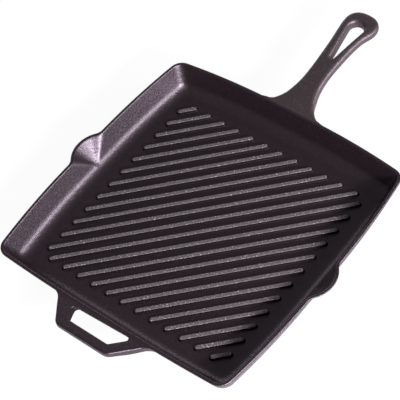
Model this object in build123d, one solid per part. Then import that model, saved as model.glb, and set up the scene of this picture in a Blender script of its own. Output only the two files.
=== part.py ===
from build123d import *

import os
from math import cos, radians, sin, sqrt, tan

# A square grill pan, cast in one piece of iron and modelled as the named sections of that casting.
# Millimetres and degrees. +Z is up, the resting face is at Z 0, and the pan is centred on the Z axis.
# The long handle is on the +Y side, the helper handle on the -Y side, and a pouring lip on each X side.

# Pan body
rim_width = 268.0
pan_height = 28.0
floor_thickness = 4.6
rim_thickness = 3.5
wall_flare = 22.0
side_bow_radius = 710.0
side_bow_sweep = 45.0
front_bow_radius = 1950.0
front_inset = 3.0
outer_edge_radius = 13.0
inner_edge_radius = 10.0
rim_edge_radius = 1.2

# Griddle plate, the flat middle of the floor
plate_inset = 28.0
plate_corner_radius = 8.0

# Grill ribs, raised diagonally across the plate
rib_field_margin = 4.0
shortest_rib_length = 12.0
rib_pitch = 11.66
rib_width = 4.4
rib_height = 3.0
rib_draft = 12.0
rib_crown_chamfer = 0.8

# Pouring lips, conical grooves in the middle of the left and right walls
lip_half_length = 23.5
lip_reach = 9.3
lip_neck_radius = 6.34
lip_end_flat = 0.5
lip_foot_height = 3.4
lip_foot_depth = 14.0
lip_section_margin = 2.5

# Long handle
handle_length = 119.0
handle_rise_angle = 14.0
handle_arch_radius = 500.0
handle_arm_width = 8.5
handle_neck_width = 18.6
handle_neck_to_hole = 14.0
handle_waist_width = 28.0
handle_waist_reach_share = 0.315
handle_flare_width = 66.0
handle_flare_tuck = 1.0
handle_end_thickness = 8.8
handle_mid_thickness = 9.6
handle_root_thickness = 14.0
handle_top_edge_radius = 2.8
handle_bottom_edge_radius = 2.4
handle_edge_arm_share = 0.49
handle_tuck = 9.0

# Hanging hole in the long handle
hole_width = 16.0
hole_tip_width = 4.0
hole_end_land = 12.0
hole_length = 47.0

# Helper handle, a flat trapezoid loop
helper_length = 26.5
helper_rise_angle = 12.0
helper_thickness = 7.0
helper_root_thickness = 10.0
helper_arm_root_width = 18.0
helper_arm_end_width = 7.0
helper_flare_radius = 7.0
helper_flare_land = 2.0
helper_corner_radius = 8.0
helper_edge_radius = 1.8
helper_bar_width = 9.5
grip_gap_base_width = 63.0
grip_gap_end_width = 42.0
grip_gap_corner_radius = 3.5
grip_gap_web = 3.0

# Cutting shapes run this far past the faces they cut
overrun = 2.0

half_rim = rim_width / 2
front_rim = half_rim - front_inset
wall_lean = tan(radians(wall_flare))
side_flat_length = 2 * (lip_half_length + lip_end_flat)
plate_width = rim_width - 2 * plate_inset
rib_field_width = plate_width - 2 * rib_field_margin
rib_count = 2 * int((rib_field_width / sqrt(2) - shortest_rib_length / 2 + rib_pitch / 2) // rib_pitch)
lip_section_length = 2 * (lip_half_length + lip_section_margin)
handle_neck_reach = handle_length - hole_end_land - hole_length - handle_neck_to_hole
handle_waist_reach = handle_waist_reach_share * handle_neck_reach
handle_end_width = hole_width + 2 * handle_arm_width
helper_base_width = grip_gap_base_width + 2 * helper_arm_root_width
helper_end_width = grip_gap_end_width + 2 * helper_arm_end_width
helper_flare_width = helper_base_width + 2 * (helper_flare_radius + helper_flare_land)


def half_width_at(height, inset):
    """Half the pan's width at a height, measured to a wall face that is set in from the outside."""
    return half_rim - inset - (pan_height - height) * wall_lean


def side_body(inset, bottom, top, bow_radius):
    """All that lies inside one side, here +X: a leaning face, flat in the middle and conical beyond it."""
    centre = half_rim - bow_radius
    low = (half_width_at(bottom, inset), bottom)
    high = (half_width_at(top, inset), top)
    section = Plane.XZ * make_face(Polyline((centre, bottom), low, high, (centre, top), close=True))
    middle = extrude(section, side_flat_length / 2, both=True)
    bow = revolve(section, Axis((centre, 0, 0), (0, 0, 1)), side_bow_sweep)
    bow = Pos(0, side_flat_length / 2, 0) * bow
    return middle + bow + mirror(bow, Plane.XZ)


def flared_block(inset, bottom, top, edge_radius):
    """Solid between two heights, wider at the top, with rounded corners and a rounded bottom edge."""
    side = side_body(inset, bottom, top, side_bow_radius)
    front = side_body(inset + front_inset, bottom, top, front_bow_radius)
    block = side & side.rotate(Axis.Z, 90) & side.rotate(Axis.Z, 180) & front.rotate(Axis.Z, 270)
    bottom_edges = block.edges().group_by(Axis.Z)[0]
    corner_edges = [edge for edge in block.edges() if is_corner(edge, bottom, top)]
    return fillet([*bottom_edges, *corner_edges], edge_radius)


def is_corner(edge, bottom, top):
    """True for the four sloping edges where two sides meet."""
    middle = edge @ 0.5
    climbs = bottom < middle.Z < top
    return climbs and min(abs(middle.X), abs(middle.Y)) > plate_width / 2


def lip_cone(inset, top):
    """Cone over a pouring lip's outline, on the +X side, with its point low on the wall's face."""
    foot_height = floor_thickness + lip_foot_height
    foot = Vector(half_width_at(foot_height, inset), 0, foot_height)
    rim = half_rim - inset
    neck_radius = lip_neck_radius + inset
    tip_radius = (lip_reach**2 + lip_half_length**2) / (2 * lip_reach) - neck_radius
    tip = Vector(rim + lip_reach, 0, pan_height)
    tip_centre = tip - Vector(tip_radius, 0, 0)
    end = Vector(rim, lip_half_length, pan_height)
    neck_centre = end + Vector(neck_radius, 0, 0)
    across = (neck_centre - tip_centre).normalized()
    joint = tip_centre + across * tip_radius
    neck = neck_centre - (across + Vector(1, 0, 0)).normalized() * neck_radius
    back = end - Vector(lip_foot_depth, lip_half_length / 2, 0)
    growth = (top - foot.Z) / (pan_height - foot.Z)
    tip, joint, neck, end, back = [foot + (point - foot) * growth for point in (tip, joint, neck, end, back)]
    outline = [
        ThreePointArc(mirrored(end), mirrored(neck), mirrored(joint)),
        ThreePointArc(mirrored(joint), tip, joint),
        ThreePointArc(joint, neck, end),
        Line(end, back),
        Line(back, mirrored(back)),
        Line(mirrored(back), mirrored(end)),
    ]
    return loft([make_face(outline), Vertex(*foot)], ruled=True)


def mirrored(point):
    """The point on the other side of the X axis."""
    return Vector(point.X, -point.Y, point.Z)


def pan_outside():
    """The pan's outer form, with both lips, and a sharp rim."""
    cone = lip_cone(0, pan_height)
    return flared_block(0, 0, pan_height, outer_edge_radius) + cone + cone.rotate(Axis.Z, 180)


def pan_inside():
    """The hollow of the pan, run out past the rim."""
    top = pan_height + overrun
    cone = lip_cone(rim_thickness, top)
    hollow = flared_block(rim_thickness, floor_thickness, top, inner_edge_radius)
    return hollow + cone + cone.rotate(Axis.Z, 180)


def pan_shell():
    """Floor, walls and lips in one, with the rim's edges rounded."""
    shell = pan_outside() - pan_inside()
    return fillet(shell.edges().group_by(Axis.Z)[-1], rim_edge_radius)


def plate_block():
    """Upright block that takes the griddle plate out of the shell."""
    face = fillet(Rectangle(plate_width, plate_width).vertices(), plate_corner_radius)
    return extrude(face, floor_thickness + overrun)


def lip_block():
    """Block round the +X lip's share of the shell, from the griddle plate outward."""
    depth = half_rim + lip_reach + overrun - plate_width / 2
    block = Box(depth, lip_section_length, pan_height + overrun, align=(Align.MIN, Align.CENTER, Align.MIN))
    return Pos(plate_width / 2, 0, 0) * block


def rib(number):
    """One rib, with drafted sides and round ends, laid from the -X-Y edge of the field to the +X+Y edge."""
    offset = ((rib_count + 1) / 2 - number) * rib_pitch
    length = rib_field_width * sqrt(2) - 2 * abs(offset)
    body = extrude(SlotOverall(length, rib_width), rib_height, taper=rib_draft)
    body = chamfer(body.edges().group_by(Axis.Z)[-1], rib_crown_chamfer)
    return Rot(0, 0, 45) * Pos(0, offset, floor_thickness) * body


def handle_rise(reach):
    """Height of the long handle's top above the rim, at a distance out from the rim."""
    start = radians(handle_rise_angle)
    along = handle_arch_radius * sin(start) - reach
    return sqrt(handle_arch_radius**2 - along**2) - handle_arch_radius * cos(start)


def handle_side_face():
    """The long handle seen from the side: an arched bar that thickens into the pan's wall."""
    end = handle_length + overrun
    tuck = -handle_tuck
    neck_bottom = handle_rise(handle_neck_reach) - handle_mid_thickness
    end_bottom = handle_rise(end) - handle_end_thickness
    outline = [
        Line((tuck, 0), (0, 0)),
        ThreePointArc((0, 0), (end / 2, handle_rise(end / 2)), (end, handle_rise(end))),
        Line((end, handle_rise(end)), (end, end_bottom)),
        Spline((end, end_bottom), (handle_neck_reach, neck_bottom), (tuck, -handle_root_thickness)),
        Line((tuck, -handle_root_thickness), (tuck, 0)),
    ]
    side = Plane(origin=(-handle_flare_width / 2, half_rim, pan_height), x_dir=(0, 1, 0), z_dir=(1, 0, 0))
    return side * make_face(outline)


def handle_plan_face():
    """The long handle seen from above: flared at the rim, waisted, and round at the end."""
    end_radius = handle_end_width / 2
    end_centre = handle_length - end_radius
    flare = handle_flare_width / 2
    waist = Vector(handle_waist_width / 2, handle_waist_reach)
    neck = Vector(handle_neck_width / 2, handle_neck_reach)
    spread = handle_end_width - handle_neck_width
    turn = spread / (end_centre - handle_neck_reach)
    slant = Vector(turn, 1).normalized()
    shoulder = Vector(end_radius * slant.Y, end_centre - end_radius * slant.X)
    right = Spline((flare, -handle_flare_tuck), waist, neck, shoulder, tangents=[(-1, 0), slant])
    left = mirror(right, Plane.YZ)
    tip = ThreePointArc(shoulder, (0, handle_length), (-shoulder.X, shoulder.Y))
    outline = [
        Line((-flare, -handle_tuck), (flare, -handle_tuck)),
        Line((flare, -handle_tuck), (flare, -handle_flare_tuck)),
        right,
        tip,
        left,
        Line((-flare, -handle_flare_tuck), (-flare, -handle_tuck)),
    ]
    return Pos(0, half_rim, 0) * make_face(outline)


def hole_face():
    """Teardrop outline of the hanging hole, broad towards the handle's end."""
    big = hole_width / 2
    small = hole_tip_width / 2
    big_y = handle_length - hole_end_land - big
    small_y = handle_length - hole_end_land - hole_length + small
    lean = (big - small) / (big_y - small_y)
    level = sqrt(1 - lean**2)
    outline = [
        ThreePointArc((-big * level, big_y - big * lean), (0, big_y + big), (big * level, big_y - big * lean)),
        Line((big * level, big_y - big * lean), (small * level, small_y - small * lean)),
        ThreePointArc(
            (small * level, small_y - small * lean), (0, small_y - small), (-small * level, small_y - small * lean)
        ),
        Line((-small * level, small_y - small * lean), (-big * level, big_y - big * lean)),
    ]
    return Pos(0, half_rim, 0) * make_face(outline)


def within_arms(radius):
    """An edge radius, or the most that the arms beside the hanging hole have room for."""
    arm = handle_plan_face().wire().distance_to(hole_face().wire())
    return min(radius, handle_edge_arm_share * arm)


def helper_side_face():
    """The helper handle seen from the side: a bar rising from the rim, thicker at its root."""
    end = helper_length + overrun
    tuck = -handle_tuck
    slope = tan(radians(helper_rise_angle))
    bottom = end * slope - helper_thickness / cos(radians(helper_rise_angle))
    side = Plane(origin=(-helper_flare_width / 2, front_rim, pan_height), x_dir=(0, 1, 0), z_dir=(1, 0, 0))
    corners = [(tuck, tuck * slope), (end, end * slope), (end, bottom), (tuck, -helper_root_thickness)]
    return side * make_face(Polyline(*corners, close=True))


def helper_plan_face():
    """The helper handle seen from above, without its gap: a trapezoid that flares into the rim."""
    flare = helper_flare_width / 2
    base = helper_base_width / 2
    end = helper_end_width / 2
    right = [(flare, -handle_tuck), (flare, -handle_flare_tuck), (base, -handle_flare_tuck), (end, helper_length)]
    left = [(-x, y) for x, y in reversed(right)]
    face = make_face(Polyline(*right, *left, close=True))
    face = fillet(face.vertices().group_by(Axis.Y)[-1], helper_corner_radius)
    roots = [vertex for vertex in face.vertices() if is_flare_root(vertex)]
    return Pos(0, front_rim, 0) * fillet(roots, helper_flare_radius)


def is_flare_root(vertex):
    """True for the two corners of the helper handle's outline where its arms meet the rim."""
    return abs(abs(vertex.X) - helper_base_width / 2) < handle_flare_tuck and vertex.Y < 0


def grip_gap_face():
    """Finger gap of the helper handle, with a narrow web of iron left between it and the wall."""
    base = grip_gap_base_width / 2
    end = grip_gap_end_width / 2
    near = grip_gap_web
    far = helper_length - helper_bar_width
    gap = make_face(Polyline((base, near), (end, far), (-end, far), (-base, near), close=True))
    return Pos(0, front_rim, 0) * fillet(gap.vertices(), grip_gap_corner_radius)


def rounded_bar(plan_face, side_face, opening_face, width, rim, top_radius, bottom_radius):
    """A handle's bar with its opening, its edges rounded outside the rim, before it is cut to the wall."""
    bar = upright(plan_face) & extrude(side_face, width)
    bar = bar - upright(opening_face)
    bar = fillet(edges_outside(bar, rim, 1), top_radius)
    return fillet(edges_outside(bar, rim, -1), bottom_radius)


def edges_outside(bar, rim, side):
    """Edges, outside the rim, of a bar's upper face (side 1) or lower face (side -1)."""
    face = max(bar.faces(), key=lambda face: face.area * face.normal_at().Z * side)
    return [edge for edge in face.edges() if (edge @ 0.5).Y > rim - handle_flare_tuck / 2]


def upright(face):
    """A flat outline run up past everything that it meets."""
    return extrude(face, 2 * pan_height)


def long_handle(shell):
    """Arched handle with a teardrop hanging hole, seated on the back wall's outer face."""
    bar = rounded_bar(
        handle_plan_face(),
        handle_side_face(),
        hole_face(),
        handle_flare_width,
        half_rim,
        within_arms(handle_top_edge_radius),
        within_arms(handle_bottom_edge_radius),
    )
    return (bar - shell).solids().sort_by(Axis.Y)[-1]


def helper_handle(shell):
    """Flat loop handle, seated on the front wall's outer face."""
    bar = rounded_bar(
        helper_plan_face(),
        helper_side_face(),
        grip_gap_face(),
        helper_flare_width,
        front_rim,
        helper_edge_radius,
        helper_edge_radius,
    )
    return (bar.rotate(Axis.Z, 180) - shell).solids().sort_by(Axis.Y)[0]


def sections():
    """Every named section of the casting."""
    shell = pan_shell()
    plate = plate_block()
    right_block = lip_block()
    left_block = right_block.rotate(Axis.Z, 180)
    ring = shell - plate
    walls = (ring - right_block - left_block).solids().sort_by(Axis.Y)
    parts = {
        "griddle_plate": shell & plate,
        "front_wall": walls[0],
        "back_wall": walls[-1],
        "left_pouring_lip": ring & left_block,
        "right_pouring_lip": ring & right_block,
        "long_handle": long_handle(shell),
        "helper_handle": helper_handle(shell),
    }
    for number in range(1, rib_count + 1):
        parts[f"grill_rib_{number:02d}"] = rib(number)
    return parts


def main():
    os.makedirs("parts", exist_ok=True)
    for name, section in sections().items():
        export_step(section, f"parts/{name}.step")
        print(name, round(section.volume), "mm3")


main()
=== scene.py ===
import bpy
import bmesh
from math import asin, cos, pi, radians, sin, sqrt, tan
from mathutils import Matrix, Vector
from mathutils.geometry import interpolate_bezier

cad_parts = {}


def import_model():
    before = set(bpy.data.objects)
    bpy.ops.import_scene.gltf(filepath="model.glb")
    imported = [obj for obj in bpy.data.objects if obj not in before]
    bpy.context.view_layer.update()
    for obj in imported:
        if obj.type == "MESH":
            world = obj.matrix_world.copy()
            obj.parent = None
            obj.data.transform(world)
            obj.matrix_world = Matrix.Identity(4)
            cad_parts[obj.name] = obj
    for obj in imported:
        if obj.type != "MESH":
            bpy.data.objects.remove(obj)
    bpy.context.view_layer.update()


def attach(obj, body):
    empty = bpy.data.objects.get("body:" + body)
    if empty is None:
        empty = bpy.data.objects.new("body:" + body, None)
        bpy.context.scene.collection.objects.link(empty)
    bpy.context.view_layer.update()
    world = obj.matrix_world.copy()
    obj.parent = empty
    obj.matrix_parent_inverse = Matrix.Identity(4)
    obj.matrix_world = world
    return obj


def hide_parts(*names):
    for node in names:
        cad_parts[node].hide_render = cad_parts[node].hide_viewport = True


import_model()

# A square grill pan, cast in one piece of iron. Metres, +Z up, the long handle on the +Y side.
# Only the iron is modelled: the pan's body, its ribs and its two handles, which run into each other.

# Pan body
RIM_HALF = 0.134
HEIGHT = 0.028
FLOOR = 0.0046
WALL = 0.0035
LEAN_ANGLE = radians(22)
LEAN = tan(LEAN_ANGLE)
SIDE_BOW = 0.710
BOW_START = 0.024
FRONT_BOW = 1.950
FRONT_INSET = 0.003
OUTER_ROUND = 0.013
INNER_ROUND = 0.0124
CORNER_ROUND = 0.013
CORNER_ROUND_AT_BEND = 0.0118
CORNER_ROUND_AT_FLOOR = 0.005
RIM_ROUND_OUTSIDE = 0.0013
RIM_ROUND_INSIDE = 0.0016

# How finely the pan's skin is divided: along half a side, round a corner, and up and down the walls
LIP_STEPS = 22
SIDE_STEPS = 16
CORNER_STEPS = 12
OUTER_ROUND_STEPS = 9
WALL_STEPS = 13
RIM_STEPS = 6
INNER_ROUND_STEPS = 10

# Pouring lips, in the middle of the two X sides
LIP_HALF_LENGTH = 0.0246
LIP_REACH = 0.00896
LIP_TIP_RADIUS = 0.0285
LIP_FOOT = 0.008
LIP_MARGIN = 1.1

# Ribs
RIB_COUNT = 24
RIB_PITCH = 0.01166
RIB_WIDTH = 0.0044
RIB_HEIGHT = 0.003
RIB_DRAFT = tan(radians(7))
RIB_CROWN = 0.0006
RIB_FOOT_ROUND = 0.0002
RIB_NOSE = 0.0022
RIB_TOP_SHARE = 0.6
# How far down the crown the lighter iron reaches: part wear, part painted highlight
RIB_WEAR_AND_HIGHLIGHT_SHARE = 0.7
RIB_END_STEPS = 10
RIB_FOOT_STEPS = 2
RIB_CROWN_STEPS = 6
RIB_FIELD_HALF = 0.102

# Long handle
HANDLE_LENGTH = 0.11899
HANDLE_RISE = radians(14)
HANDLE_ARCH_RADIUS = 0.500
HANDLE_FLARE = 0.033
# Half widths on its two sides, as (distance from the rim, half width), up to the widest place
HANDLE_RIGHT = [
    (0.003, 0.0240), (0.009, 0.0175), (0.015, 0.0140), (0.028, 0.0104), (0.044, 0.0093),
    (0.066, 0.0103), (0.079, 0.0114), (0.090, 0.0132), (0.1045, 0.0176),
]
HANDLE_LEFT = [
    (0.003, 0.0246), (0.009, 0.0188), (0.015, 0.0157), (0.028, 0.0124), (0.044, 0.0114),
    (0.066, 0.0123), (0.079, 0.0134), (0.090, 0.0149), (0.1035, 0.0163),
]
HANDLE_END_SHAPE = 0.84
HANDLE_THICKNESS = 0.0088
HANDLE_ROOT_THICKNESS = 0.0135
HANDLE_ROOT_LENGTH = 0.045
HANDLE_TOP_EDGE = (0.0046, 0.0034)
HANDLE_LOW_EDGE = (0.0028, 0.0030)
HOLE_RADIUS = 0.008
HOLE_TIP_RADIUS = 0.002
HOLE_END = 0.107
HOLE_START = 0.060
HOLE_TOP_EDGE = (0.0030, 0.0034)
HOLE_LOW_EDGE = (0.0014, 0.0014)
HOLE_DRAFT = 0.0011

# Helper handle, measured from the front rim
HELPER_LENGTH = 0.0265
HELPER_RISE = tan(radians(12))
HELPER_HALF_BASE = 0.0495
HELPER_HALF_END = 0.028
HELPER_FLARE = 0.056
HELPER_FLARE_END = 0.006
HELPER_CORNER = 0.009
HELPER_THICKNESS = 0.0064
HELPER_ROOT_THICKNESS = 0.010
HELPER_EDGE = (0.0018, 0.0018)
HELPER_BAR = 0.0096
GAP_BASE_RIGHT = (0.0300, 0.0029)
GAP_BASE_LEFT = (-0.0345, 0.0010)
GAP_HALF_END = 0.0218
GAP_CORNER = 0.0024
GAP_EDGE = (0.0009, 0.0009)

# Both handles: how far behind the rim's outer edge they start, and how far out their edges are fully rounded
ROOT_BACK = -0.0019
ROOT_FADE = 0.004
ROOT_ROUND = 0.003
ROOT_GROWTH = 1.5

# How finely the handles are divided: round their outlines, over their edges, and in rows that crowd
# towards the rim
HANDLE_SIDE_STEPS = 10
HANDLE_END_STEPS = 16
HOLE_TIP_STEPS = 8
HOLE_STEPS = 14
HELPER_FLARE_STEPS = 12
HELPER_ARM_STEPS = 8
HELPER_CORNER_STEPS = 10
HELPER_BAR_STEPS = 10
GAP_CORNER_STEPS = 8
EDGE_STEPS = 6
ROW_START = 0.0006
ROW_GROWTH = 1.35
ROW_COUNT = 50

# How far the ribs run into the floor that carries them, so that no gap shows between them
SEAT = 0.0004

# Edges that turn by more than this stay sharp
SHARP_FROM = radians(50)

# Iron: where its lighter grains start and end in the noise, the depth of its relief, the tint of its sheen
SPECKLE_FROM = 0.56
SPECKLE_TO = 0.74
BUMP_STRENGTH = 0.5
BUMP_DEPTH = 0.001
SHEEN_TINT = (1.0, 0.82, 0.97, 1)

# Studio floor, just under the pan so that their faces don't coincide, and the share of its white that
# only the camera sees
STUDIO_DROP = 0.0002
STUDIO_SIZE = 8
STUDIO_GREY = (0.92, 0.92, 0.92, 1)
STUDIO_ROUGHNESS = 0.9
STUDIO_WHITE = 1.06
STUDIO_WHITE_SHARE = 0.90

# Light from all round, and the lamps: name, place, size, power and colour
SKY_COLOUR = (1.0, 0.94, 0.94, 1)
SKY_STRENGTH = 0.125
LAMPS = [
    ("key", (1.19, -0.40, 0.63), (0.8, 0.13), 27, (0.96, 0.96, 1.0)),
    ("side", (1.16, 0.50, 0.58), (0.9, 0.16), 10, (0.96, 0.96, 1.0)),
    ("backdrop", (-1.3, 1.2, 0.30), (2.0, 0.4), 4, (1.0, 0.96, 0.97)),
]

# Camera
LENS = 148.304
SENSOR = 36
CAMERA_PLACE = (0.66156, -0.55410, 1.15106)
CAMERA_RIGHT = (0.77141, 0.61872, -0.14870)
CAMERA_UP = (-0.42920, 0.67842, 0.59626)


def wall_at(height, inset=0.0):
    """Half the pan's width at a height, on a face that lies inset from the outside of the wall."""
    return RIM_HALF - inset - (HEIGHT - height) * LEAN


def shares(count):
    """Even steps from 0 to 1, both included."""
    return [step / count for step in range(count + 1)]


def lip_push(along, height, inset):
    """How far a pouring lip pushes the wall out, at a distance along the side and a height."""
    growth = (height - LIP_FOOT) / (HEIGHT - LIP_FOOT)
    if growth <= 0 or along >= LIP_HALF_LENGTH * growth:
        return 0.0
    tip_radius = LIP_TIP_RADIUS - inset
    neck_radius = (LIP_REACH**2 + LIP_HALF_LENGTH**2) / (2 * LIP_REACH) - tip_radius
    turn = LIP_HALF_LENGTH * tip_radius / (tip_radius + neck_radius)
    place = along / growth
    if place < turn:
        push = LIP_REACH - tip_radius + sqrt(tip_radius**2 - place**2)
    else:
        push = neck_radius - sqrt(neck_radius**2 - (LIP_HALF_LENGTH - place) ** 2)
    return push * growth


def corner_between(side, after, radius):
    """Centre of the round between two sides that face +X and +Y. Each is its bow's middle and radius."""
    middle, bow = side
    middle_after, bow_after = after
    across = BOW_START - middle
    along = middle_after - BOW_START
    gap = across**2 + along**2
    share = ((bow - radius) ** 2 - (bow_after - radius) ** 2 + gap) / (2 * gap)
    rise = sqrt((bow - radius) ** 2 / gap - share**2)
    return middle + across * share - along * rise, BOW_START + along * share + across * rise


def pan_outline(half_width, height, corner_radius, inset):
    """Points round the pan at one height: four bowed sides with rounded corners, two of them with a lip."""
    back = (RIM_HALF - SIDE_BOW, half_width - RIM_HALF + SIDE_BOW)
    front = (RIM_HALF - FRONT_BOW, half_width - FRONT_INSET - RIM_HALF + FRONT_BOW)
    sides = [back, back, back, front]
    points = []
    for quarter in range(4):
        middle, bow = sides[quarter]
        before = corner_between(sides[quarter - 1], sides[quarter], corner_radius)
        corner = corner_between(sides[quarter], sides[(quarter + 1) % 4], corner_radius)
        turn_before = asin((before[0] - BOW_START) / (bow - corner_radius))
        turn = asin((corner[1] - BOW_START) / (bow - corner_radius))
        turn_after = asin((corner[0] - BOW_START) / (sides[(quarter + 1) % 4][1] - corner_radius))
        near = [LIP_HALF_LENGTH * LIP_MARGIN * share for share in shares(LIP_STEPS)]
        reach = BOW_START + bow * sin(turn) - near[-1]
        far = [near[-1] + reach * share for share in shares(SIDE_STEPS)[1:]]
        reach_before = BOW_START + bow * sin(turn_before) - near[-1]
        far_before = [near[-1] + reach_before * share for share in shares(SIDE_STEPS)[1:]]
        places = [-place for place in reversed(near[1:] + far_before)] + near + far
        side = []
        for place in places:
            past = max(abs(place) - BOW_START, 0)
            across = middle + sqrt(bow**2 - past**2)
            if quarter % 2 == 0:
                across += lip_push(abs(place), height, inset)
            side.append((across, place))
        for share in shares(CORNER_STEPS)[1:-1]:
            angle = turn + (pi / 2 - turn_after - turn) * share
            side.append((corner[0] + corner_radius * cos(angle), corner[1] + corner_radius * sin(angle)))
        spin = Matrix.Rotation(quarter * pi / 2, 3, "Z")
        points += [spin @ Vector((x, y, height)) for x, y in side]
    return points


def pan_loops():
    """Outlines of the pan's whole skin: under the floor, up the outside, over the rim and down inside."""
    loops = []

    def add(half_width, height, corner_radius):
        inset = min(max(wall_at(height) - half_width, 0.0), WALL)
        loops.append(pan_outline(half_width, height, corner_radius, inset))

    def corner_at(angle, inset):
        radius = CORNER_ROUND_AT_BEND - inset / 2
        return CORNER_ROUND_AT_FLOOR + (radius - CORNER_ROUND_AT_FLOOR) * cos(angle) / cos(LEAN_ANGLE)

    def wall_corner(share, inset):
        low_radius = CORNER_ROUND_AT_BEND - inset / 2
        return low_radius + (CORNER_ROUND - inset - low_radius) * share

    centre = wall_at(OUTER_ROUND) - OUTER_ROUND / cos(LEAN_ANGLE)
    add(centre - 2 * WALL, 0, CORNER_ROUND_AT_FLOOR)
    for share in shares(OUTER_ROUND_STEPS):
        angle = pi / 2 + (LEAN_ANGLE - pi / 2) * share
        half_width = centre + OUTER_ROUND * cos(angle)
        add(half_width, OUTER_ROUND - OUTER_ROUND * sin(angle), corner_at(angle, 0))
    low = OUTER_ROUND * (1 - sin(LEAN_ANGLE))
    high = HEIGHT - RIM_ROUND_OUTSIDE * (1 + sin(LEAN_ANGLE))
    for share in shares(WALL_STEPS)[1:-1]:
        height = low + (high - low) * share
        add(wall_at(height), height, wall_corner(share, 0))
    rim_low = HEIGHT - RIM_ROUND_OUTSIDE
    centre = wall_at(rim_low) - RIM_ROUND_OUTSIDE / cos(LEAN_ANGLE)
    for share in shares(RIM_STEPS):
        angle = -LEAN_ANGLE + (pi / 2 + LEAN_ANGLE) * share
        half_width = centre + RIM_ROUND_OUTSIDE * cos(angle)
        height = rim_low + RIM_ROUND_OUTSIDE * sin(angle)
        add(half_width, height, CORNER_ROUND - (wall_at(height) - half_width))
    rim_low = HEIGHT - RIM_ROUND_INSIDE
    centre = wall_at(rim_low, WALL) + RIM_ROUND_INSIDE / cos(LEAN_ANGLE)
    for share in shares(RIM_STEPS):
        angle = pi / 2 + (pi / 2 - LEAN_ANGLE) * share
        half_width = centre + RIM_ROUND_INSIDE * cos(angle)
        height = rim_low + RIM_ROUND_INSIDE * sin(angle)
        add(half_width, height, CORNER_ROUND - (wall_at(height) - half_width))
    high = rim_low + RIM_ROUND_INSIDE * sin(LEAN_ANGLE)
    bend = FLOOR + INNER_ROUND
    low = bend - INNER_ROUND * sin(LEAN_ANGLE)
    for share in shares(WALL_STEPS)[1:-1]:
        height = high + (low - high) * share
        add(wall_at(height, WALL), height, wall_corner(1 - share, WALL))
    centre = wall_at(bend, WALL) - INNER_ROUND / cos(LEAN_ANGLE)
    for share in shares(INNER_ROUND_STEPS):
        angle = LEAN_ANGLE + (pi / 2 - LEAN_ANGLE) * share
        half_width = centre + INNER_ROUND * cos(angle)
        add(half_width, bend - INNER_ROUND * sin(angle), corner_at(angle, WALL))
    add(centre - WALL, FLOOR, CORNER_ROUND_AT_FLOOR)
    return loops


def deselect():
    bpy.ops.object.select_all(action="DESELECT")


def place_loop(piece, points):
    """Moves the selected loop of a mesh in edit mode onto its points, in the loop's own order."""
    mesh = bmesh.from_edit_mesh(piece.data)
    order = mesh.verts.layers.int["order"]
    for vert in mesh.verts:
        if vert.select:
            vert.co = points[vert[order]]
    bmesh.update_edit_mesh(piece.data)


def stack(name, loops, capped=True):
    """A skin grown from a flat loop, extruded once for each further loop and set to that loop's outline."""
    deselect()
    fill = "NGON" if capped else "NOTHING"
    bpy.ops.mesh.primitive_circle_add(vertices=len(loops[0]), radius=RIM_HALF, fill_type=fill)
    piece = bpy.context.object
    piece.name = name
    piece.data.name = name
    numbers = piece.data.attributes.new("order", "INT", "POINT")
    numbers.data.foreach_set("value", list(range(len(loops[0]))))
    bpy.ops.object.mode_set(mode="EDIT")
    bpy.ops.mesh.select_all(action="SELECT")
    place_loop(piece, loops[0])
    for points in loops[1:]:
        if capped:
            bpy.ops.mesh.extrude_region_move(TRANSFORM_OT_translate={"value": (0, 0, SEAT)})
        else:
            bpy.ops.mesh.extrude_edges_move(TRANSFORM_OT_translate={"value": (0, 0, SEAT)})
        place_loop(piece, points)
    bpy.ops.object.mode_set(mode="OBJECT")
    return piece


def finish_skin(piece):
    """Merges what touches, turns every face outwards and shades the skin smooth."""
    deselect()
    piece.select_set(True)
    bpy.context.view_layer.objects.active = piece
    bpy.ops.object.mode_set(mode="EDIT")
    bpy.ops.mesh.select_all(action="SELECT")
    bpy.ops.mesh.remove_doubles(threshold=1e-6)
    bpy.ops.mesh.normals_make_consistent(inside=False)
    bpy.ops.mesh.select_all(action="DESELECT")
    bpy.ops.object.mode_set(mode="OBJECT")
    bpy.ops.object.shade_smooth_by_angle(angle=SHARP_FROM)
    order = piece.data.attributes.get("order")
    if order:
        piece.data.attributes.remove(order)


def cast(piece, material, slot, *nodes):
    """Finishes a piece, gives it its iron and sets it in place of the nodes it stands for."""
    finish_skin(piece)
    piece.data.materials.clear()
    piece.data.materials.append(material)
    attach(piece, "root")
    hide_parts(*nodes)


def slot_outline(half_length, half_width, height):
    """A long loop with half-round ends, along X."""
    points = []
    for end in (1, -1):
        for share in shares(RIB_END_STEPS):
            angle = -pi / 2 + pi * share
            x = end * (half_length + half_width * cos(angle))
            points.append(Vector((x, end * half_width * sin(angle), height)))
    return points


def rib_model():
    """One short rib along X on the floor: sunk foot, drafted sides, rounded crown, ends that nose down."""
    half = RIB_WIDTH / 2
    levels = [(half + RIB_FOOT_ROUND, -SEAT)]
    for share in shares(RIB_FOOT_STEPS):
        angle = pi / 2 * share
        levels.append((half + RIB_FOOT_ROUND * (1 - sin(angle)), RIB_FOOT_ROUND * (1 - cos(angle))))
    crown_low = RIB_HEIGHT - RIB_CROWN
    low_half = half - crown_low * RIB_DRAFT
    levels.append(((half + low_half) / 2, crown_low / 2))
    for share in shares(RIB_CROWN_STEPS):
        angle = pi / 2 * share
        levels.append((low_half - RIB_CROWN * (1 - cos(angle)), crown_low + RIB_CROWN * sin(angle)))
    levels.append((levels[-1][0] * RIB_TOP_SHARE, RIB_HEIGHT))
    loops = []
    for width, height in levels:
        above = min(max(height / RIB_HEIGHT, 0), 1)
        back = RIB_NOSE * (1 - sqrt(1 - above**2))
        loops.append(slot_outline(RIB_NOSE - back, width, FLOOR + height))
    return stack("rib_model", loops)


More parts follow.
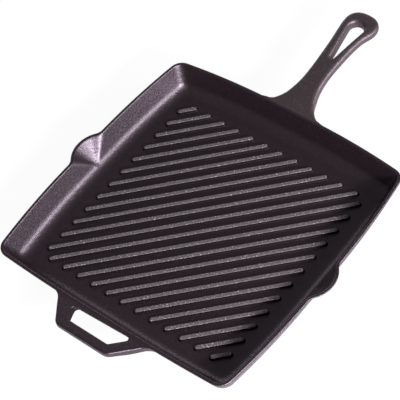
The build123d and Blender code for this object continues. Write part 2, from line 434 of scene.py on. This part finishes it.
def ribs(side_shade_iron, crown_wear_highlight_iron):
    """Every rib: a copy of the model, stretched and laid along the pan's diagonal, with painted shade on its
    sides and its crown painted bright, part wear and part highlight.
    """
    model = rib_model()
    finish_skin(model)
    for number in range(1, RIB_COUNT + 1):
        offset = ((RIB_COUNT + 1) / 2 - number) * RIB_PITCH
        stretch = RIB_FIELD_HALF * sqrt(2) - abs(offset) - RIB_WIDTH / 2 - RIB_NOSE
        mesh = model.data.copy()
        for vert in mesh.vertices:
            vert.co.x += stretch if vert.co.x > 0 else -stretch
        mesh.transform(Matrix.Rotation(pi / 4, 4, "Z") @ Matrix.Translation((0, offset, 0)))
        rib = bpy.data.objects.new(f"rib_{number:02d}", mesh)
        bpy.context.collection.objects.link(rib)
        # The rib's body gets a darker iron than the pan's: painted shade on its sides and foot
        cast(rib, side_shade_iron, "rib_iron", f"grill_rib_{number:02d}")
        # The crown's faces get a lighter iron: part wear, part painted highlight
        mesh.materials.append(crown_wear_highlight_iron)
        for face in mesh.polygons:
            face.material_index = int(face.center.z > FLOOR + RIB_HEIGHT - RIB_WEAR_AND_HIGHLIGHT_SHARE * RIB_CROWN)
    bpy.data.objects.remove(model)


def curve_through(points, start, end, per_span):
    """A smooth line through points (x, y), with the given directions at its two ends."""
    places = [Vector((x, y, 0)) for x, y in points]
    slopes = [Vector((*start, 0)).normalized()]
    for before, after in zip(places, places[2:]):
        slopes.append((after - before).normalized())
    slopes.append(Vector((*end, 0)).normalized())
    line = [places[0]]
    for i in range(len(places) - 1):
        pull = (places[i + 1] - places[i]).length / 3
        first = places[i] + slopes[i] * pull
        second = places[i + 1] - slopes[i + 1] * pull
        line += interpolate_bezier(places[i], first, second, places[i + 1], per_span + 1)[1:]
    return line


def both_sides(right):
    """A closed outline from its +X half, which starts and ends on the Y axis or at a straight back."""
    left = [Vector((-point.x, point.y, 0)) for point in reversed(right)]
    return right + [point for point in left if abs(point.x) > 1e-7]


def offset_outline(outline, distance, height):
    """An anticlockwise outline at a height, moved inwards by a distance that fades towards the pan's wall."""
    count = len(outline)
    moved = []
    for i, point in enumerate(outline):
        along = (outline[(i + 1) % count] - outline[i - 1]).normalized()
        free = distance * min(max(point.y / ROOT_FADE, 0), 1)
        moved.append(Vector((point.x - along.y * free, point.y + along.x * free, height)))
    return moved


def edge_levels(thickness, top_edge, low_edge):
    """Insets and heights from the underside of a bar to its top, its edges rounded by (breadth, depth)."""
    turns = [pi / 2 * share for share in shares(EDGE_STEPS)]
    levels = [(low_edge[0] * (1 - sin(turn)), low_edge[1] * (1 - cos(turn)) - thickness) for turn in turns]
    return levels + [(top_edge[0] * (1 - cos(turn)), top_edge[1] * (sin(turn) - 1)) for turn in turns]


def rows_across(length):
    """Distances from the rim, closer together near it, at which a bar gets a row of edges."""
    rows = [ROW_START * step**ROW_GROWTH for step in range(1, ROW_COUNT)]
    return [row for row in rows if row < length]


def bar_with_opening(name, outline, opening, thickness, edges, opening_edges, draft, rows):
    """A flat bar with an opening that narrows downwards, both with rounded edges, and rows across the bar."""
    outer = [offset_outline(outline, inset, height) for inset, height in edge_levels(thickness, *edges)]
    inner = []
    for inset, height in edge_levels(thickness, *opening_edges):
        inner.append(offset_outline(opening, -inset - draft * height / thickness, height))
    bar = stack(name, outer, capped=False)
    lining = stack(name + "_lining", inner, capped=False)
    deselect()
    lining.select_set(True)
    bar.select_set(True)
    bpy.context.view_layer.objects.active = bar
    bpy.ops.object.join()
    for height in (0, -thickness):
        select_edges_at(bar, height)
        bpy.ops.object.mode_set(mode="EDIT")
        bpy.ops.mesh.fill(use_beauty=True)
        bpy.ops.object.mode_set(mode="OBJECT")
    bpy.ops.object.mode_set(mode="EDIT")
    for row in rows:
        bpy.ops.mesh.select_all(action="SELECT")
        bpy.ops.mesh.bisect(plane_co=(0, row, 0), plane_no=(0, 1, 0))
    bpy.ops.object.mode_set(mode="OBJECT")
    return bar


def select_edges_at(piece, height):
    """Selects the open edges of a piece that lie at one height."""
    mesh = bmesh.new()
    mesh.from_mesh(piece.data)
    for face in mesh.faces:
        face.select = False
    for edge in mesh.edges:
        level = all(abs(vert.co.z - height) < 1e-7 for vert in edge.verts)
        edge.select = level and edge.is_boundary
    for vert in mesh.verts:
        vert.select = any(edge.select for edge in vert.link_edges)
    mesh.select_mode = {"EDGE"}
    mesh.to_mesh(piece.data)
    mesh.free()
    bpy.context.tool_settings.mesh_select_mode = (False, True, False)


def seat_bar(bar, edges, rise, thickness, thickness_at, rim, direction):
    """Bends a flat bar onto its rise, thickens it to its root and leans its root with the pan's wall."""
    top_edge, low_edge = edges
    for vert in bar.data.vertices:
        reach = vert.co.y
        depth = -vert.co.z
        share = min(max((depth - top_edge[1]) / (thickness - top_edge[1] - low_edge[1]), 0), 1)
        depth += (thickness_at(reach) - thickness) * share
        height = HEIGHT + rise(reach) - depth
        close = min(max(1 - reach / (2 * thickness), 0), 1)
        lean = (HEIGHT - height) * LEAN * close
        vert.co = Vector((vert.co.x * direction, (rim + reach - lean) * direction, height))


def root_round(reach):
    """Extra depth of a bar's underside close to the wall, where it rounds down into it."""
    gap = min(max(reach, 0), ROOT_ROUND)
    return ROOT_ROUND - sqrt(ROOT_ROUND**2 - (ROOT_ROUND - gap) ** 2)


def handle_rise(reach):
    """Height of the long handle's arch above the rim."""
    if reach <= 0:
        return 0.0
    along = HANDLE_ARCH_RADIUS * sin(HANDLE_RISE) - reach
    return sqrt(HANDLE_ARCH_RADIUS**2 - along**2) - HANDLE_ARCH_RADIUS * cos(HANDLE_RISE)


def handle_thickness(reach):
    """Thickness of the long handle, which grows towards its root."""
    share = min(max(1 - reach / HANDLE_ROOT_LENGTH, 0), 1)
    grown = (HANDLE_ROOT_THICKNESS - HANDLE_THICKNESS) * share**ROOT_GROWTH
    return HANDLE_THICKNESS + grown + root_round(reach)


def handle_side(half_widths):
    """One long side of the handle, from its root to the middle of its rounded end."""
    widest_y, widest = half_widths[-1]
    side = [(HANDLE_FLARE, ROOT_BACK / 2)] + [(half, reach) for reach, half in half_widths]
    line = [Vector((HANDLE_FLARE, ROOT_BACK, 0))] + curve_through(side, (-1, 0), (0, 1), HANDLE_SIDE_STEPS)
    for share in shares(HANDLE_END_STEPS)[1:]:
        angle = pi / 2 * share
        across = widest * cos(angle) ** HANDLE_END_SHAPE if share < 1 else 0.0
        reach = widest_y + (HANDLE_LENGTH - widest_y) * sin(angle) ** HANDLE_END_SHAPE
        line.append(Vector((across, reach, 0)))
    return line


def long_handle(material):
    """Arched handle, flared into the rim and pierced by a teardrop hole."""
    right = handle_side(HANDLE_RIGHT)
    left = [Vector((-point.x, point.y, 0)) for point in reversed(handle_side(HANDLE_LEFT))]
    big = HOLE_END - HOLE_RADIUS
    small = HOLE_START + HOLE_TIP_RADIUS
    lean = asin((HOLE_RADIUS - HOLE_TIP_RADIUS) / (big - small))
    hole = []
    for share in shares(HOLE_TIP_STEPS):
        angle = -pi / 2 + (pi / 2 - lean) * share
        hole.append(Vector((HOLE_TIP_RADIUS * cos(angle), small + HOLE_TIP_RADIUS * sin(angle), 0)))
    first = hole[-1]
    last = Vector((HOLE_RADIUS * cos(-lean), big + HOLE_RADIUS * sin(-lean), 0))
    hole += [first.lerp(last, share) for share in shares(HOLE_STEPS)[1:-1]]
    for share in shares(HOLE_STEPS):
        angle = -lean + (pi / 2 + lean) * share
        hole.append(Vector((HOLE_RADIUS * cos(angle), big + HOLE_RADIUS * sin(angle), 0)))
    rows = rows_across(HANDLE_LENGTH)
    edges = (HANDLE_TOP_EDGE, HANDLE_LOW_EDGE)
    hole_edges = (HOLE_TOP_EDGE, HOLE_LOW_EDGE)
    outlines = (right + left[1:], both_sides(hole))
    measures = (HANDLE_THICKNESS, edges, hole_edges, HOLE_DRAFT, rows)
    bar = bar_with_opening("long_handle_casting", *outlines, *measures)
    seat_bar(bar, edges, handle_rise, HANDLE_THICKNESS, handle_thickness, RIM_HALF, 1)
    cast(bar, material, "seasoned_iron", "long_handle")


def helper_rise(reach):
    """Height of the helper handle's slope above the rim."""
    return max(reach, 0) * HELPER_RISE


def helper_thickness(reach):
    """Thickness of the helper handle, which grows towards its root."""
    share = min(max(1 - reach / HELPER_LENGTH, 0), 1)
    grown = (HELPER_ROOT_THICKNESS - HELPER_THICKNESS) * share**ROOT_GROWTH
    return HELPER_THICKNESS + grown + root_round(reach)


def rounded_corner(corner, before, after, radius, steps):
    """Points of an arc that rounds the corner between two neighbouring points."""
    into = (before - corner).normalized()
    out = (after - corner).normalized()
    half = into.angle(out) / 2
    tangent = radius / tan(half)
    centre = corner + (into + out).normalized() * (radius / sin(half))
    start = corner + into * tangent - centre
    end = corner + out * tangent - centre
    return [centre + start.slerp(end, share).normalized() * radius for share in shares(steps)]


def helper_handle(material):
    """Flat loop handle with a finger gap, on the -Y side."""
    base = Vector((HELPER_HALF_BASE, 0, 0))
    end = Vector((HELPER_HALF_END, HELPER_LENGTH, 0))
    slant = (end - base).normalized()
    low = base + slant * HELPER_FLARE_END
    root = (HELPER_FLARE, ROOT_BACK / 2)
    flare = curve_through([root, (low.x, low.y)], (-1, 0), (slant.x, slant.y), HELPER_FLARE_STEPS)
    tip = Vector((0, HELPER_LENGTH, 0))
    corner = rounded_corner(end, base, tip, HELPER_CORNER, HELPER_CORNER_STEPS)
    right = [Vector((HELPER_FLARE, ROOT_BACK, 0))] + flare
    right += [flare[-1].lerp(corner[0], share) for share in shares(HELPER_ARM_STEPS)[1:-1]] + corner
    right += [corner[-1].lerp(tip, share) for share in shares(HELPER_BAR_STEPS)[1:]]
    far = HELPER_LENGTH - HELPER_BAR
    places = (GAP_BASE_RIGHT, (GAP_HALF_END, far), (-GAP_HALF_END, far), GAP_BASE_LEFT)
    sharp = [Vector((x, y, 0)) for x, y in places]
    gap = []
    for i, corner in enumerate(sharp):
        gap += rounded_corner(corner, sharp[i - 1], sharp[(i + 1) % 4], GAP_CORNER, GAP_CORNER_STEPS)
    rows = rows_across(HELPER_LENGTH)
    edges = (HELPER_EDGE, HELPER_EDGE)
    gap_edges = (GAP_EDGE, GAP_EDGE)
    outlines = (both_sides(right), gap)
    bar = bar_with_opening("helper_handle_casting", *outlines, HELPER_THICKNESS, edges, gap_edges, 0, rows)
    front_rim = RIM_HALF - FRONT_INSET
    seat_bar(bar, edges, helper_rise, HELPER_THICKNESS, helper_thickness, front_rim, -1)
    cast(bar, material, "seasoned_iron", "helper_handle")


def grain_group():
    """Sand-cast grain: pits and lumps at two scales, and where they lie, as a mask."""
    group = bpy.data.node_groups.new("sand_cast_grain", "ShaderNodeTree")
    sockets = group.interface
    values = {"Grain Scale": 900.0, "Grain Depth": 0.3, "Swell Scale": 60.0, "Swell Depth": 0.2}
    for name, value in values.items():
        socket = sockets.new_socket(name, in_out="INPUT", socket_type="NodeSocketFloat")
        socket.default_value = value
    sockets.new_socket("Height", in_out="OUTPUT", socket_type="NodeSocketFloat")
    sockets.new_socket("Speckle", in_out="OUTPUT", socket_type="NodeSocketFloat")
    nodes = group.nodes
    link = group.links.new
    entry = nodes.new("NodeGroupInput")
    leave = nodes.new("NodeGroupOutput")
    place = nodes.new("ShaderNodeTexCoord")
    grain = nodes.new("ShaderNodeTexNoise")
    grain.inputs["Detail"].default_value = 3
    grain.inputs["Roughness"].default_value = 0.6
    swell = nodes.new("ShaderNodeTexNoise")
    swell.inputs["Detail"].default_value = 2
    link(place.outputs["Object"], grain.inputs["Vector"])
    link(place.outputs["Object"], swell.inputs["Vector"])
    link(entry.outputs["Grain Scale"], grain.inputs["Scale"])
    link(entry.outputs["Swell Scale"], swell.inputs["Scale"])
    fine = nodes.new("ShaderNodeMath")
    fine.operation = "MULTIPLY"
    link(grain.outputs["Fac"], fine.inputs[0])
    link(entry.outputs["Grain Depth"], fine.inputs[1])
    both = nodes.new("ShaderNodeMath")
    both.operation = "MULTIPLY_ADD"
    link(swell.outputs["Fac"], both.inputs[0])
    link(entry.outputs["Swell Depth"], both.inputs[1])
    link(fine.outputs[0], both.inputs[2])
    speck = nodes.new("ShaderNodeMapRange")
    speck.inputs["From Min"].default_value = SPECKLE_FROM
    speck.inputs["From Max"].default_value = SPECKLE_TO
    link(grain.outputs["Fac"], speck.inputs["Value"])
    link(both.outputs[0], leave.inputs["Height"])
    link(speck.outputs["Result"], leave.inputs["Speckle"])
    return group


def iron(name, group, dark, light, roughness, ior, grain_scale, grain_depth):
    """Seasoned cast iron: a dark skin with lighter grains, a dull sheen and a sand-cast surface."""
    material = bpy.data.materials.new(name)
    material.use_nodes = True
    nodes = material.node_tree.nodes
    link = material.node_tree.links.new
    shader = nodes["Principled BSDF"]
    shader.inputs["IOR"].default_value = ior
    shader.inputs["Specular Tint"].default_value = SHEEN_TINT
    grain = nodes.new("ShaderNodeGroup")
    grain.node_tree = group
    grain.inputs["Grain Scale"].default_value = grain_scale
    grain.inputs["Grain Depth"].default_value = grain_depth
    colour = nodes.new("ShaderNodeMix")
    colour.data_type = "RGBA"
    colour.inputs["A"].default_value = (*dark, 1)
    colour.inputs["B"].default_value = (*light, 1)
    link(grain.outputs["Speckle"], colour.inputs["Factor"])
    link(colour.outputs["Result"], shader.inputs["Base Color"])
    rough = nodes.new("ShaderNodeMapRange")
    rough.inputs["To Min"].default_value = roughness[0]
    rough.inputs["To Max"].default_value = roughness[1]
    link(grain.outputs["Speckle"], rough.inputs["Value"])
    link(rough.outputs["Result"], shader.inputs["Roughness"])
    bump = nodes.new("ShaderNodeBump")
    bump.inputs["Strength"].default_value = BUMP_STRENGTH
    bump.inputs["Distance"].default_value = BUMP_DEPTH
    link(grain.outputs["Height"], bump.inputs["Height"])
    link(bump.outputs["Normal"], shader.inputs["Normal"])
    return material


def pan_body(material):
    """Floor, walls, rim and both lips in one skin."""
    body = stack("pan_body_casting", pan_loops())
    nodes = ("griddle_plate", "back_wall", "front_wall", "left_pouring_lip", "right_pouring_lip")
    cast(body, material, "seasoned_iron", *nodes)


def seen_or_lit(nodes, link, lit, strength, share):
    """A shader that shows the camera a share of plain white, and is lit as usual for everything else."""
    white = nodes.new("ShaderNodeEmission")
    white.inputs["Strength"].default_value = strength
    path = nodes.new("ShaderNodeLightPath")
    part = nodes.new("ShaderNodeMath")
    part.operation = "MULTIPLY"
    part.inputs[1].default_value = share
    mix = nodes.new("ShaderNodeMixShader")
    link(path.outputs["Is Camera Ray"], part.inputs[0])
    link(part.outputs["Value"], mix.inputs["Fac"])
    link(lit, mix.inputs[1])
    link(white.outputs["Emission"], mix.inputs[2])
    return mix.outputs["Shader"]


def studio_floor():
    """Pale floor under the pan, mostly white to the camera, with the pan's shadow kept."""
    deselect()
    bpy.ops.mesh.primitive_plane_add(size=STUDIO_SIZE, location=(0, 0, -STUDIO_DROP))
    ground = bpy.context.object
    ground.name = "studio_floor"
    material = bpy.data.materials.new("pale_floor")
    material.use_nodes = True
    nodes = material.node_tree.nodes
    link = material.node_tree.links.new
    shader = nodes["Principled BSDF"]
    shader.inputs["Base Color"].default_value = STUDIO_GREY
    shader.inputs["Roughness"].default_value = STUDIO_ROUGHNESS
    seen = seen_or_lit(nodes, link, shader.outputs["BSDF"], STUDIO_WHITE, STUDIO_WHITE_SHARE)
    link(seen, nodes["Material Output"].inputs["Surface"])
    ground.data.materials.append(material)


def world():
    """Soft, even light from all round, and white behind the pan."""
    scene_world = bpy.data.worlds.new("studio")
    scene_world.use_nodes = True
    bpy.context.scene.world = scene_world
    nodes = scene_world.node_tree.nodes
    link = scene_world.node_tree.links.new
    light = nodes["Background"]
    light.inputs["Color"].default_value = SKY_COLOUR
    light.inputs["Strength"].default_value = SKY_STRENGTH
    seen = seen_or_lit(nodes, link, light.outputs["Background"], 1.0, 1.0)
    link(seen, nodes["World Output"].inputs["Surface"])


def area_light(name, place, size, power, colour):
    """A soft rectangular lamp that points at the middle of the pan."""
    lamp = bpy.data.lights.new(name, "AREA")
    lamp.shape = "RECTANGLE"
    lamp.size, lamp.size_y = size
    lamp.energy = power
    lamp.color = colour
    light = bpy.data.objects.new(name, lamp)
    light.location = place
    light.rotation_euler = (-Vector(place)).to_track_quat("-Z", "Y").to_euler()
    bpy.context.collection.objects.link(light)


def camera():
    """The photograph's viewpoint: high over the +X -Y corner, rolled a little, through a long lens."""
    lens = bpy.data.cameras.new("camera")
    lens.lens = LENS
    lens.sensor_width = SENSOR
    view = bpy.data.objects.new("camera", lens)
    right = Vector(CAMERA_RIGHT)
    up = Vector(CAMERA_UP)
    turn = Matrix((right, up, right.cross(up))).transposed().to_4x4()
    view.matrix_world = Matrix.Translation(CAMERA_PLACE) @ turn
    bpy.context.collection.objects.link(view)
    bpy.context.scene.camera = view


camera()
world()
for lamp in LAMPS:
    area_light(*lamp)
studio_floor()

grain = grain_group()
# Each iron: its dark and light colour, smoothest and roughest sheen, IOR, grain scale and grain depth
dark, light = (0.0085, 0.0040, 0.0050), (0.018, 0.011, 0.013)
skin = iron("seasoned_iron", grain, dark, light, (0.39, 0.53), 2.1, 400, 0.55)
dark, light = (0.040, 0.030, 0.029), (0.07, 0.058, 0.055)
handle_skin = iron("handle_iron", grain, dark, light, (0.42, 0.54), 2.0, 430, 0.5)
# Rib sides: painted shade, darker and duller than the pan's own iron
dark, light = (0.0060, 0.0030, 0.0035), (0.012, 0.008, 0.009)
rib_side_shade = iron("rib_side_painted_shade", grain, dark, light, (0.50, 0.60), 1.4, 600, 0.5)
# Rib crowns: lighter iron, part wear and part painted highlight, with pale speckles as painted glints
dark, light = (0.125, 0.106, 0.111), (0.62, 0.56, 0.58)
rib_crown_wear_highlight = iron("rib_crown_wear_and_painted_highlight", grain, dark, light, (0.50, 0.62), 1.6, 650, 0.6)
pan_body(skin)
ribs(rib_side_shade, rib_crown_wear_highlight)
long_handle(handle_skin)
helper_handle(skin)

bpy.context.scene.view_settings.view_transform = "Standard"
